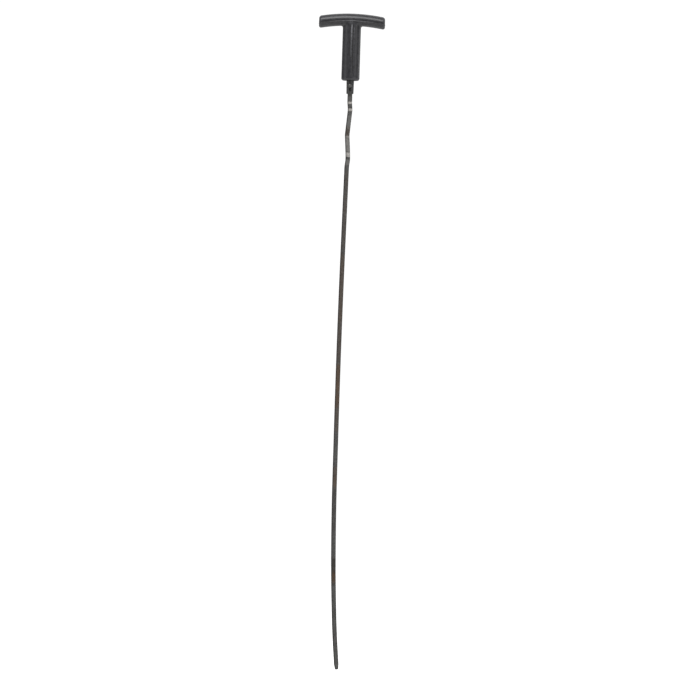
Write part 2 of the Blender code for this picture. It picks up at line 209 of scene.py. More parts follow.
class BladeSettings(bpy.types.PropertyGroup):
    width: length("Width", "Width of the steel strip", 4.76)
    thickness: length("Thickness", "Thickness of the steel strip", 1.4)
    turn: angle("Turn", "How far the strip is twisted below the carrier", 27.0)
    top: length("Top", "Height of the strip's upper end", 5.4)
    end: length("End", "Drop of the strip's tip below the stem's mouth", 588.4)
    tip_bow: length("Tip bow", "How far the tip bows off the axis", 9.4)
    twist_start: length("Twist start", "Drop at which the twist starts", 13.0)
    twist_end: length("Twist end", "Drop at which the twist is complete", 24.0)
    edge_radius: length("Edge radius", "Radius of the strip's eased edges", 0.35)
    tip_length: length("Tip length", "Length over which the tip narrows", 5.5)
    tip_share: share("Tip share", "Share of the width that is left at the tip", 0.72)
    tip_corner: length("Tip corner", "Radius of the tip's corners", 1.2)
    tip_sections: whole_number("Tip sections", "Sections drawn close together at the tip", 22)
    hatch_start: length("Hatch start", "Where the hatched level range starts, down the strip", 534.6)
    hatch_end: length("Hatch end", "Where the hatched level range ends, down the strip", 546.6)
    hatch_pitch: length("Hatch pitch", "Distance between the level range's cuts", 1.3)
    hatch_cut: length("Hatch cut", "Width of each of those cuts", 0.42)
    hatch_depth: length("Hatch depth", "Depth of each of those cuts", 0.08)
    step: length("Step", "Distance between the strip's sections", 0.5)
    corner_points: whole_number("Corner points", "Points round each eased edge", 7)
    base: colour("Steel", "Colour of the dark oiled steel", (0.104, 0.103, 0.100))
    # Also the colour of the painted glints at the bends.
    rubbed_and_highlit: colour("Bright steel", "Colour where the guide tube has rubbed the steel", (0.44, 0.42, 0.395))
    # Next to the carrier this paler colour is painted light where the carrier shades the strip.
    pale: colour("Paler steel", "Colour of the less stained steel near the carrier", (0.172, 0.169, 0.162))
    brown: colour("Brown stain", "Colour of the baked oil and rust", (0.130, 0.086, 0.057))
    oil: colour("Oil", "Colour of the dark oil films", (0.045, 0.040, 0.035))
    # Painted shade along the strip's edges.
    painted_shade: colour("Painted_edge_shade", "Colour of the strip's shade_painted sides", (0.022, 0.021, 0.020))


class StudioSettings(bpy.types.PropertyGroup):
    aim_x: length("Aim X", "Where the camera looks, along X", 7.93)
    aim_z: length("Aim Z", "Where the camera looks, along Z", -269.15)
    distance: length("Distance", "Distance of the camera", 3500.0)
    roll: angle("Roll", "How far the camera is rolled", 1.75)
    view_width: length("View width", "Width of the view at the handle's plane", 700.5)
    sensor: number("Sensor", "Width of the camera's sensor, in millimetres", 36.0)
    floor_drop: length("Floor drop", "Drop of the floor below the blade's tip", 52.0)
    floor_radius: length("Floor radius", "Radius of the floor", 2500.0)
    key_power: number("Key power", "Power of the softbox above, in watts", 26.0)
    side_power: number("Side power", "Power of each side softbox, in watts", 5.0)


# ---- shared building blocks


def add_object(name, data):
    obj = bpy.data.objects.new(name, data)
    bpy.context.scene.collection.objects.link(obj)
    return obj


def evaluated_mesh(obj):
    bpy.context.view_layer.update()
    return bpy.data.meshes.new_from_object(obj.evaluated_get(bpy.context.evaluated_depsgraph_get()))


def mesh_points(mesh):
    points = np.empty(len(mesh.vertices) * 3)
    mesh.vertices.foreach_get("co", points)
    return points.reshape(-1, 3)


def mesh_of(bm, mesh):
    """Writes a bmesh into a mesh, or into a new one of that name, and frees it."""
    if isinstance(mesh, str):
        mesh = bpy.data.meshes.new(mesh)
    bm.to_mesh(mesh)
    bm.free()
    return mesh


def set_mesh_points(mesh, points):
    mesh.vertices.foreach_set("co", points.astype(np.float32).ravel())
    mesh.update()


def read_values(mesh, name):
    values = np.empty(len(mesh.vertices))
    mesh.attributes[name].data.foreach_get("value", values)
    return values


def store_values(mesh, name, values):
    """Keeps one number per vertex under a name that a material can read."""
    attribute = mesh.attributes.get(name) or mesh.attributes.new(name, "FLOAT", "POINT")
    attribute.data.foreach_set("value", values.astype(np.float32))


def grey(level):
    return (level, level, level, 1.0)


def shaded(tone, factor):
    return [factor * channel for channel in tone]


class Graph:
    """A node tree, and a short way to add nodes whose inputs are values or other nodes' outputs."""

    def __init__(self, tree):
        self.tree = tree

    def add(self, kind, inputs=None, **settings):
        node = self.tree.nodes.new(kind)
        for name, value in settings.items():
            setattr(node, name, value)
        for socket, value in (inputs or {}).items():
            self.feed(node.inputs[socket], value)
        return node

    def feed(self, socket, value):
        if isinstance(value, bpy.types.NodeSocket):
            self.tree.links.new(value, socket)
        else:
            socket.default_value = value


def add_piece(name, mesh, material, node):
    """Adds a finished piece, which rides on the model and stands for its CAD node."""
    obj = add_object(name, mesh)
    mesh.materials.clear()
    mesh.materials.append(material)
    mesh.shade_smooth()
    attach(obj, BODY)
    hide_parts(node)


# ---- shapes given by a distance field


# How many rounds even out a moulding's mesh, at first and after it is refined, how many steps of each draw it
# on to the surface, and the least steepness, squared, by which such a step is divided.
SETTLE_ROUNDS = 6
REFINED_ROUNDS = 2
DRAW_STEPS = 3
LEAST_STEEPNESS = 0.05

# How a surface's turning, in 1/mm over a short reach, becomes a mask for rubbing and painted highlight on
# edges, and for painted shade in corners.
TURN_REACH = 0.25 * MM
WEAR_AND_HIGHLIGHT_FROM, WEAR_AND_HIGHLIGHT_FULL = 0.28, 0.78
SHADE_FULL = 0.6


def least(*distances):
    return np.min(distances, axis=0)


def most(*distances):
    return np.max(distances, axis=0)


def smooth_min(a, b, blend):
    """The lesser of two distances, with a fillet where they are nearly equal."""
    part = np.clip(0.5 + 0.5 * (b - a) / blend, 0.0, 1.0)
    return b + (a - b) * part - blend * part * (1 - part)


def smooth_max(a, b, blend):
    return -smooth_min(-a, -b, blend)


def cut(body, hollow, edge):
    """The body without the hollow, its new edges rounded."""
    return smooth_max(body, -hollow, edge)


def rounded_rod(across, along, radius, half_length, edge):
    """Distance to a rod with rounded edges. across is the distance from its axis."""
    over = across - radius + edge
    past = np.abs(along) - half_length + edge
    outside = np.hypot(np.maximum(over, 0), np.maximum(past, 0))
    return outside + np.minimum(np.maximum(over, past), 0) - edge


def segment_distance(points, start, end):
    start, end = np.array(start), np.array(end)
    run = end - start
    part = np.clip((points - start) @ run / (run @ run), 0.0, 1.0)
    return np.linalg.norm(points - start - part[:, None] * run, axis=1)


def gradient(field, points, reach=0.02 * MM):
    slopes = np.empty_like(points)
    for axis in range(3):
        offset = np.zeros(3)
        offset[axis] = reach
        slopes[:, axis] = (field(points + offset) - field(points - offset)) / (2 * reach)
    return slopes


def curvature(field, points, reach):
    """How sharply the surface turns: positive on outer edges, negative in corners, in 1/m."""
    centre = field(points)
    total = np.zeros(len(points))
    for axis in range(3):
        offset = np.zeros(3)
        offset[axis] = reach
        total += field(points + offset) + field(points - offset) - 2 * centre
    return total / reach**2


def settle(mesh, field, rounds, longest):
    """Evens out the mesh and draws every vertex on to the surface where the field is zero."""
    points = mesh_points(mesh)
    ends = np.empty(len(mesh.edges) * 2, np.int64)
    mesh.edges.foreach_get("vertices", ends)
    first, second = ends.reshape(-1, 2).T
    count = len(points)
    neighbours = np.bincount(first, minlength=count) + np.bincount(second, minlength=count)
    for _ in range(rounds):
        for axis in range(3):
            place = points[:, axis]
            total = np.bincount(first, place[second], count) + np.bincount(second, place[first], count)
            points[:, axis] += 0.5 * (total / neighbours - place)
        for _ in range(DRAW_STEPS):
            slope = gradient(field, points)
            steepness = np.maximum((slope**2).sum(1), LEAST_STEEPNESS)
            step = np.clip(field(points) / steepness, -longest, longest)
            points -= slope * step[:, None]
    set_mesh_points(mesh, points)


def refine(mesh, chosen):
    """Halves the mesh cells round the vertices for which chosen(points) is true."""
    marked = chosen(mesh_points(mesh))
    bm = bmesh.new()
    bm.from_mesh(mesh)
    edges = [edge for edge in bm.edges if all(marked[vert.index] for vert in edge.verts)]
    bmesh.ops.subdivide_edges(bm, edges=edges, cuts=1, use_grid_fill=True)
    mesh_of(bm, mesh)


def moulded_mesh(node, field, voxel, chosen=None):
    """A fine even mesh of a field's surface, started from the CAD node's solid."""
    start = add_object(node + "_start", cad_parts[node].data.copy())
    bm = bmesh.new()
    bm.from_mesh(start.data)
    bmesh.ops.remove_doubles(bm, verts=bm.verts, dist=0.001 * MM)
    mesh_of(bm, start.data)
    remesh = start.modifiers.new("remesh", "REMESH")
    remesh.mode = "VOXEL"
    remesh.voxel_size = voxel
    mesh = evaluated_mesh(start)
    bpy.data.objects.remove(start, do_unlink=True)
    settle(mesh, field, SETTLE_ROUNDS, voxel)
    if chosen is not None:
        refine(mesh, chosen)
        settle(mesh, field, REFINED_ROUNDS, voxel)
    turn = curvature(field, mesh_points(mesh), TURN_REACH) * MM
    # Outer edges get a mask for rubbing and painted highlight; corners get a mask for painted shade.
    store_values(mesh, "wear_and_highlight", np.clip((turn - WEAR_AND_HIGHLIGHT_FROM) / (WEAR_AND_HIGHLIGHT_FULL - WEAR_AND_HIGHLIGHT_FROM), 0.0, 1.0))
    store_values(mesh, "painted_shade", np.clip(-turn / SHADE_FULL, 0.0, 1.0))
    return mesh


# ---- turned shapes


def arc(centre, radius, start, end, steps):
    """Points (radius, height) round an arc, angles in degrees, both ends included."""
    angles = np.radians(np.linspace(start, end, steps + 1))
    return [(centre[0] + radius * math.cos(a), centre[1] + radius * math.sin(a)) for a in angles]


def lathe(name, profile, steps, closed):
    """Turns a profile of (radius, height) points round Z. A closed profile makes a ring."""
    bm = bmesh.new()
    verts = [bm.verts.new((radius, 0, height)) for radius, height in profile]
    edges = [bm.edges.new(pair) for pair in zip(verts, verts[1:])]
    if closed:
        edges.append(bm.edges.new((verts[-1], verts[0])))
    bmesh.ops.spin(
        bm, geom=verts + edges, axis=(0, 0, 1), cent=(0, 0, 0), angle=math.tau, steps=steps, use_merge=True
    )
    bmesh.ops.remove_doubles(bm, verts=bm.verts, dist=0.0005 * MM)
    bmesh.ops.recalc_face_normals(bm, faces=bm.faces)
    return mesh_of(bm, name)


# ---- materials


class Recipe(Graph):
    """A material's node tree, with short ways to add the nodes that the finishes here share."""

    def __init__(self, name):
        self.material = bpy.data.materials.new(name)
        self.material.use_nodes = True
        super().__init__(self.material.node_tree)
        self.shader = self.tree.nodes["Principled BSDF"]
        self.place = self.add("ShaderNodeTexCoord").outputs["Object"]

    def noise(self, scale, detail=4.0, roughness=0.55, stretch=None):
        """Noise on object coordinates, which may be stretched along some axes."""
        vector = self.place
        if stretch is not None:
            vector = self.add("ShaderNodeMapping", {"Vector": vector, "Scale": stretch}).outputs["Vector"]
        inputs = {"Vector": vector, "Scale": scale, "Detail": detail, "Roughness": roughness}
        return self.add("ShaderNodeTexNoise", inputs).outputs["Fac"]

    def value_of(self, attribute):
        return self.add("ShaderNodeAttribute", attribute_name=attribute).outputs["Fac"]

    def math(self, operation, first, second=0.0, clamp=False):
        node = self.add("ShaderNodeMath", {0: first, 1: second}, operation=operation)
        node.use_clamp = clamp
        return node.outputs["Value"]

    def times(self, first, second):
        return self.math("MULTIPLY", first, second)

    def between(self, value, low, high, to_low=0.0, to_high=1.0):
        """A value moved from one range to another, smoothly and held at its ends."""
        inputs = {"Value": value, "From Min": low, "From Max": high, "To Min": to_low, "To Max": to_high}
        return self.add("ShaderNodeMapRange", inputs, interpolation_type="SMOOTHSTEP").outputs["Result"]

    def band(self, value, start, end, soft):
        """1 between start and end, fading over soft outside them."""
        rise = self.between(value, start - soft, start)
        fall = self.between(value, end, end + soft, 1.0, 0.0)
        return self.times(rise, fall)

    def cuts(self, value, pitch, width):
        """1 in the middle of evenly spaced cuts across a value, fading to 0 at their edges."""
        away = self.math("PINGPONG", value, pitch / 2)
        return self.between(away, 0.0, width / 2, 1.0, 0.0)

    def patches(self, value, soft, table):
        """The strongest of several bands, each given as (start, end, strength) with its ends in mm."""
        strongest = None
        for start, end, strength in table:
            band = self.times(self.band(value, start * MM, end * MM, soft), strength)
            strongest = band if strongest is None else self.math("MAXIMUM", strongest, band)
        return strongest

    def jittered(self, value, noise, reach):
        """A value moved to and fro by noise, over reach in all."""
        return self.math("ADD", value, self.times(self.math("SUBTRACT", noise, 0.5), reach))

    def mix(self, factor, first, second):
        node = self.add("ShaderNodeMix", data_type="RGBA")
        self.feed(node.inputs["Factor"], factor)
        for name, value in (("A", first), ("B", second)):
            socket = next(s for s in node.inputs if s.name == name and s.type == "RGBA")
            self.feed(socket, value if isinstance(value, bpy.types.NodeSocket) else (*value, 1.0))
        return next(s for s in node.outputs if s.type == "RGBA")

    def bump(self, height, distance, strength=1.0, onto=None):
        inputs = {"Height": height, "Distance": distance, "Strength": strength}
        if onto is not None:
            inputs["Normal"] = onto
        return self.add("ShaderNodeBump", inputs).outputs["Normal"]

    def shade(self, tone=None, roughness=None, normal=None, **fixed):
        """Joins up the finish, with other inputs of the shader given by name, and returns the material."""
        for name, value in (("Base Color", tone), ("Roughness", roughness), ("Normal", normal)):
            if value is not None:
                self.feed(self.shader.inputs[name], value)
        for name, value in fixed.items():
            self.shader.inputs[name.replace("_", " ")].default_value = value
        return self.material


def moulded_plastic(name, base, rubbed_and_highlit, roughness):
    """Moulded plastic: a fine spark-eroded grain, soft mottling, edges lightened by rubbing and a painted
    highlight, painted shade in corners, and fine scratches.
    """
    recipe = Recipe(name)
    mottling = recipe.noise(260.0, 5.0)
    grain = recipe.noise(5200.0, 2.0)
    scratches = recipe.noise(900.0, 3.0, stretch=(1.0, 1.0, 0.06))
    scratched = recipe.between(scratches, 0.62, 0.72)
    patchy = recipe.between(recipe.noise(520.0, 6.0, 0.7), 0.36, 0.62, 0.25, 1.0)
    # A hand rubs the top of the stem and the middle of the crossbar most; the same mask also fades the
    # painted highlight on the rib and the parting line.
    split = recipe.add("ShaderNodeSeparateXYZ", {"Vector": recipe.place}).outputs
    up = recipe.between(split["Z"], 20.0 * MM, 54.0 * MM, 0.28, 1.0)
    outwards = recipe.between(recipe.math("ABSOLUTE", split["X"]), 12.0 * MM, 26.0 * MM, 1.0, 0.25)
    handling_and_highlight = recipe.times(up, outwards)
    # Edges are lightened partly for rubbing and partly as a painted highlight on the rib and the parting
    # line.
    wear_and_highlight = recipe.times(recipe.value_of("wear_and_highlight"), recipe.times(patchy, handling_and_highlight))
    wear_and_highlight = recipe.times(wear_and_highlight, 0.75)
    rub_and_highlight = recipe.math("ADD", wear_and_highlight, recipe.times(scratched, 0.10), True)
    tone = recipe.mix(recipe.between(mottling, 0.3, 0.7), shaded(base, 0.72), shaded(base, 1.22))
    tone = recipe.mix(rub_and_highlight, tone, rubbed_and_highlit)
    # Corners and the witness line are darkened: painted shade.
    tone = recipe.mix(recipe.times(recipe.value_of("painted_shade"), 0.75), tone, (0.012, 0.011, 0.010))
    gloss = recipe.between(mottling, 0.25, 0.75, roughness - 0.05, roughness + 0.07)
    gloss = recipe.math("ADD", gloss, recipe.times(rub_and_highlight, 0.12))
    normal = recipe.bump(grain, 0.018 * MM, 0.6)
    normal = recipe.bump(scratches, 0.02 * MM, 0.35, normal)
    return recipe.shade(tone, gloss, normal, IOR=1.5)


def seal_rubber(base):
    """Oil-resistant rubber: nearly black, with a dull bloom."""
    recipe = Recipe("seal_rubber")
    bloom = recipe.between(recipe.noise(700.0, 5.0, 0.65), 0.45, 0.75)
    tone = recipe.mix(bloom, base, shaded(base, 2.2))
    gloss = recipe.between(bloom, 0.0, 1.0, 0.42, 0.62)
    return recipe.shade(tone, gloss, recipe.bump(recipe.noise(3800.0, 3.0), 0.012 * MM, 0.5))


def rivet_steel(base):
    """Dulled plating, darker where it has tarnished."""
    recipe = Recipe("rivet_steel")
    tarnish = recipe.between(recipe.noise(900.0, 6.0, 0.65), 0.4, 0.72)
    tone = recipe.mix(tarnish, base, (0.08, 0.076, 0.070))
    gloss = recipe.between(tarnish, 0.0, 1.0, 0.46, 0.6)
    return recipe.shade(tone, gloss, recipe.bump(recipe.noise(2600.0, 4.0), 0.01 * MM, 0.5), Metallic=1.0)


def blade_steel(settings):
    """Dark oiled spring steel: bright at the kinks from rubbing and painted glints, browned by baked oil,
    clean where it dips, and with painted shade along its edges.
    """
    recipe = Recipe("blade_spring_steel")
    along = recipe.value_of("along")
    across = recipe.math("ABSOLUTE", recipe.value_of("across"))
    mottling = recipe.noise(420.0, 6.0, 0.62)
    drawn = recipe.noise(1500.0, 3.0, stretch=(1.0, 1.0, 0.03))
    ragged = recipe.jittered(along, recipe.noise(60.0, 4.0, 0.6), 14.0 * MM)
    jittered_along = recipe.jittered(along, recipe.noise(520.0, 5.0, 0.65), 1.7 * MM)

    tone = recipe.mix(recipe.between(mottling, 0.3, 0.72), settings.base, shaded(settings.base, 0.72))
    streaks = recipe.times(recipe.between(drawn, 0.5, 0.75), 0.35)
    tone = recipe.mix(streaks, tone, shaded(settings.base, 1.5))

    # Paler steel; the band next to the carrier is painted light where the carrier shades the strip.
    pale = recipe.patches(jittered_along, 1.0 * MM, PALE_AND_LIT_BANDS)
    pale = recipe.times(pale, recipe.between(mottling, 0.2, 0.8, 0.75, 1.0))
    tone = recipe.mix(pale, tone, settings.pale)

    blotches = recipe.between(recipe.noise(150.0, 6.0, 0.7), 0.25, 0.6, 0.45, 1.0)
    brown = recipe.times(recipe.patches(ragged, 5.0 * MM, BROWN_BANDS), blotches)
    tone = recipe.mix(brown, tone, settings.brown)
    tone = recipe.mix(recipe.patches(ragged, 3.0 * MM, OIL_BANDS), tone, settings.oil)

    uneven = recipe.between(recipe.noise(800.0, 5.0), 0.3, 0.6, 0.65, 1.0)
    # Steel bright from rubbing, and painted glints at the bends.
    rub_and_highlight = recipe.times(recipe.patches(jittered_along, 0.9 * MM, RUBBED_AND_GLINT_BANDS), uneven)
    tone = recipe.mix(rub_and_highlight, tone, settings.rubbed_and_highlit)

    # Darker towards the strip's edges: painted shade.
    sides = recipe.times(recipe.between(across, 0.45, 0.85), 0.22)
    sides = recipe.math("ADD", sides, recipe.times(recipe.between(across, 0.88, 0.97), 0.55))
    tone = recipe.mix(sides, tone, settings.painted_shade)

    sideways = recipe.times(recipe.value_of("across"), settings.width / 2)
    hatch = recipe.band(along, settings.hatch_start, settings.hatch_end, 0.1 * MM)
    hatch = recipe.times(hatch, recipe.between(across, 0.58, 0.62, 1.0, 0.0))
    slants = [recipe.math(slant, along, sideways) for slant in ("ADD", "SUBTRACT")]
    cuts = [recipe.cuts(slant, settings.hatch_pitch, settings.hatch_cut) for slant in slants]
    hatch = recipe.times(recipe.math("MAXIMUM", *cuts), hatch)
    tone = recipe.mix(recipe.times(hatch, 0.75), tone, (0.025, 0.023, 0.021))

    gloss = recipe.between(mottling, 0.3, 0.7, 0.36, 0.5)
    gloss = recipe.math("SUBTRACT", gloss, recipe.times(rub_and_highlight, 0.10))
    gloss = recipe.math("ADD", gloss, recipe.times(brown, 0.12))
    normal = recipe.bump(drawn, 0.008 * MM, 0.5)
    normal = recipe.bump(recipe.noise(1900.0, 5.0, 0.7), 0.02 * MM, 0.4, normal)
    normal = recipe.bump(recipe.math("SUBTRACT", 1.0, hatch), settings.hatch_depth, 1.0, normal)
    return recipe.shade(tone, gloss, normal, Metallic=1.0, Specular_Tint=grey(0.35))


# ---- the handle


# How near the parting line and the witness line the mesh is refined, how far out of the axis's plane each of
# them shows, and the height from which the witness line counts.
SEAM_REACH, SEAM_FACE = 0.9 * MM, 7.0 * MM
WITNESS_REACH, WITNESS_FACE, WITNESS_START = 1.6 * MM, 6.5 * MM, 3.0 * MM


def handle_field(sizes):
    """Distance to the T-handle: an arched oval bar run into an oval stem, with its ribs, bore and seams."""
    bar_half = (HANDLE_HIGH.x - HANDLE_LOW.x) / 2
    bar_middle = HANDLE_HIGH.z - sizes.bar_height / 2
    stem_middle = sizes.stem_top / 2
    stem_face = sizes.stem_depth / 2 + sizes.rib_proud - sizes.rib_radius
    bar_face = sizes.bar_depth / 2 - sizes.rib_radius
    crisp = 0.5 * MM
    rib_sunk, rib_run_out = 1.5 * MM, 2.5 * MM
    witness_foot, witness_head = 4 * MM, sizes.rib_head - 4 * MM
    fade_in, fade_out = 2 * MM, 3 * MM

    def field(points):
        x, y, z = points.T
        level = z - bar_middle + x**2 / (2 * sizes.arch_radius)
        across = np.hypot(y * sizes.bar_height / sizes.bar_depth, level)
        bar = rounded_rod(across, x, sizes.bar_height / 2, bar_half, sizes.end_rounding)
        bar -= sizes.seam_height * np.exp(-(((level + sizes.seam_drop) / sizes.seam_width) ** 2))

        across = np.hypot(x, y * sizes.stem_width / sizes.stem_depth)
        edge = np.where(z > stem_middle, sizes.shoulder_radius, sizes.mouth_radius)
        stem = rounded_rod(across, z - stem_middle, sizes.stem_width / 2, stem_middle, edge)
        body = smooth_min(bar, stem, sizes.fillet)

        for side in (-1, 1):
            line = [
                (0, side * (stem_face - rib_sunk), sizes.rib_foot),
                (0, side * stem_face, sizes.rib_foot + rib_run_out),
                (0, side * stem_face, sizes.stem_top - 2 * sizes.shoulder_radius),
                (0, side * bar_face, sizes.rib_head),
            ]
            rib = least(*(segment_distance(points, a, b) for a, b in zip(line, line[1:])))
            body = smooth_min(body, rib - sizes.rib_radius, crisp)

        fade = np.clip((z - witness_foot) / fade_in, 0, 1) * np.clip((witness_head - z) / fade_out, 0, 1)
        witness = np.exp(-(((x - sizes.witness_place) / sizes.witness_width) ** 2))
        body += np.where(y < 0, sizes.witness_depth * witness * fade, 0.0)

        reach = np.hypot(x, y)
        bore = np.maximum(reach - sizes.bore_radius, z - sizes.bore_depth)
        socket = np.maximum(reach - sizes.socket_radius, z - sizes.socket_top)
        chamfer = (reach + z - sizes.bore_radius - sizes.lead_in) * math.sqrt(0.5)
        return cut(body, least(bore, socket, chamfer), crisp)

    return field


class DIPSTICK_OT_handle(bpy.types.Operator):
    """Builds the moulded T-handle with its hollow stem"""

    bl_idname = "dipstick.handle"
    bl_label = "T-handle"

    def execute(self, context):
        sizes = context.scene.dipstick_handle
        field = handle_field(sizes)
        bar_middle = HANDLE_HIGH.z - sizes.bar_height / 2

        def near_seams(points):
            """True on the parting line outside the stem, and on the witness line down the stem's front."""
            x, y, z = points.T
            level = z - bar_middle + x**2 / (2 * sizes.arch_radius) + sizes.seam_drop
            outside = (np.abs(x) > sizes.stem_width / 2) | (np.abs(y) > SEAM_FACE)
            seam = (np.abs(level) < SEAM_REACH) & outside
            front = (y < -WITNESS_FACE) & (z > WITNESS_START) & (z < sizes.rib_head)
            return seam | ((np.abs(x - sizes.witness_place) < WITNESS_REACH) & front)

        mesh = moulded_mesh("t_handle", field, sizes.voxel, near_seams)
        material = moulded_plastic("handle_plastic", sizes.base, sizes.scuffed_and_highlit, 0.34)
        add_piece("handle_moulding", mesh, material, "t_handle")
        return {"FINISHED"}


# ---- the carrier


def carrier_field(sizes, blade):
    """Distance to the carrier: a spigot with ring grooves, a blade pocket, a window and a rivet hole."""
    radius = CARRIER_HIGH.x
    middle = (CARRIER_LOW.z + CARRIER_HIGH.z) / 2
    half = (CARRIER_HIGH.z - CARRIER_LOW.z) / 2
    ring_heights = [(low.z + high.z) / 2 for low, high in map(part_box, RING_NODES)]
    rivet_height = (RIVET_LOW.z + RIVET_HIGH.z) / 2
    pocket_width = blade.width / 2 + sizes.pocket_gap
    pocket_depth = blade.thickness / 2 + sizes.pocket_gap
    window_middle = (sizes.window_top + sizes.window_foot) / 2
    window_half = (sizes.window_top - sizes.window_foot) / 2
    crisp, corner = 0.16 * MM, 0.5 * MM

    def field(points):
        x, y, z = points.T
        reach = np.hypot(x, y)
        taper = np.clip(z / CARRIER_LOW.z, 0.0, 1.0) * (radius - sizes.foot_radius)
        body = rounded_rod(reach + taper, z - middle, radius, half, sizes.chamfer)
        for height in ring_heights:
            groove = np.maximum(sizes.groove_radius - reach, np.abs(z - height) - sizes.groove_half)
            body = cut(body, groove, crisp)
        pocket = most(np.abs(x) - pocket_width, np.abs(y) - pocket_depth, z - sizes.pocket_top)
        over_x = np.abs(x) - sizes.window_width / 2 + corner
        over_z = np.abs(z - window_middle) - window_half + corner
        window = np.hypot(np.maximum(over_x, 0), np.maximum(over_z, 0)) - corner
        window = most(window, np.minimum(np.maximum(over_x, over_z), 0) - corner, y)
        hole = np.hypot(x, z - rivet_height)
        seat = np.maximum(hole - sizes.seat_radius, sizes.seat_depth - np.abs(y))
        return cut(body, least(pocket, window, hole - sizes.rivet_hole, seat), crisp)

    return field


class DIPSTICK_OT_carrier(bpy.types.Operator):
    """Builds the carrier that joins the blade to the handle"""

    bl_idname = "dipstick.carrier"
    bl_label = "Blade carrier"

    def execute(self, context):
        sizes = context.scene.dipstick_carrier
        field = carrier_field(sizes, context.scene.dipstick_blade)
        mesh = moulded_mesh("blade_carrier", field, sizes.voxel)
        material = moulded_plastic("carrier_nylon", sizes.base, sizes.rubbed_and_highlit, 0.46)
        add_piece("carrier_moulding", mesh, material, "blade_carrier")
        return {"FINISHED"}


# ---- the seals


# Steps round a seal, and how widely an O-ring's flash spreads, as the sine of the angle from its middle.
SEAL_STEPS = 120
FLASH_SPREAD = 0.12

# The guide tube's print in the washer: its inner and outer radius, and the width of its sloping sides.
PRINT_INNER, PRINT_OUTER, PRINT_SLOPE = 4.85 * MM, 5.75 * MM, 0.15 * MM


class DIPSTICK_OT_seals(bpy.types.Operator):
    """Builds the two O-rings and the washer that seals on the guide tube's end"""

    bl_idname = "dipstick.seals"
    bl_label = "O-rings and tube seal"

    def execute(self, context):
        sizes = context.scene.dipstick_seals
        rubber = seal_rubber(sizes.base)
        for node in RING_NODES:
            low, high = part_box(node)
            middle = high.x - sizes.section / 2
            height = (low.z + high.z) / 2
            profile = []
            for turn in np.radians(np.arange(0, 360, 7.5)):
                flash = sizes.flash * math.exp(-((math.sin(turn) / FLASH_SPREAD) ** 2))
                reach = sizes.section / 2 - sizes.flash + flash
                profile.append((middle + reach * math.cos(turn), height + reach * math.sin(turn)))
            ring = lathe(node, profile, SEAL_STEPS, True)
            add_piece(node + "_rubber", ring, rubber, node)

        inner, outer = SEAL_HIGH.x - sizes.wall, SEAL_HIGH.x
        foot, top = SEAL_LOW.z, SEAL_HIGH.z
        edge, pressed = sizes.edge, foot + sizes.print_depth
        lower_face = [
            (PRINT_OUTER + PRINT_SLOPE, foot),
            (PRINT_OUTER, pressed),
            (PRINT_INNER, pressed),
            (PRINT_INNER - PRINT_SLOPE, foot),
        ]
        profile = [
            *arc((inner + edge, top - edge), edge, 180, 90, 5),
            *arc((outer - edge, top - edge), edge, 90, 0, 5),
            *arc((outer - edge, foot + edge), edge, 0, -90, 5),
            *lower_face,
            *arc((inner + edge, foot + edge), edge, -90, -180, 5),
        ]
        washer = lathe("tube_seal", profile, SEAL_STEPS, True)
        add_piece("tube_seal_rubber", washer, rubber, "tube_seal")
        return {"FINISHED"}


# ---- the rivet


# The bevel under each head, the mark in the tail (its radius, its floor's and its rim's depth), and the flat
# round it.
HEAD_BEVEL = 0.05 * MM
MARK_RADIUS, MARK_FLOOR, MARK_RIM = 0.6 * MM, 0.25 * MM, 0.04 * MM
TAIL_FLAT = 0.75 * MM
RIVET_STEPS = 64


class DIPSTICK_OT_rivet(bpy.types.Operator):
    """Builds the rivet that holds the blade in the carrier"""

    bl_idname = "dipstick.rivet"
    bl_label = "Rivet"

    def execute(self, context):
        sizes = context.scene.dipstick_rivet
        face = RIVET_HIGH.y
        seat = face - sizes.head_height
        chord = sizes.head_radius
        rise = sizes.head_height - sizes.lip
        dome_radius = (chord**2 + rise**2) / (2 * rise)
        spread = math.degrees(math.asin(chord / dome_radius))
        dome = arc((0, face - dome_radius), dome_radius, 90, 90 - spread, 14)
        dome[0] = (0, face)
        head = [*dome, (chord, seat + HEAD_BEVEL), (chord - HEAD_BEVEL, seat)]
        dimple = [(MARK_RADIUS, MARK_RIM), (MARK_FLOOR, 0.9 * sizes.dimple), (0.0, sizes.dimple)]
        dimple = [(radius, depth - face) for radius, depth in dimple]
        tail = [(radius, -height) for radius, height in reversed(head) if radius > TAIL_FLAT]
        profile = [*head, (sizes.shank_radius, seat), (sizes.shank_radius, -seat), *tail, *dimple]
        mesh = lathe("rivet", profile, RIVET_STEPS, False)
        height = (RIVET_LOW.z + RIVET_HIGH.z) / 2
        mesh.transform(Matrix.Translation((0, 0, height)) @ Matrix.Rotation(math.radians(90.0), 4, "X"))
        add_piece("rivet_metal", mesh, rivet_steel(sizes.base), "blade_rivet")
        return {"FINISHED"}


# ---- the blade


# Points on the twist before the first bend, points round each bend, steps round the tip's last edge, and how
# closely the tip's sections crowd towards its end.
TWIST_STEPS = 8
BEND_STEPS = 12
TIP_EDGE_STEPS = 6
TIP_CROWDING = 1.7


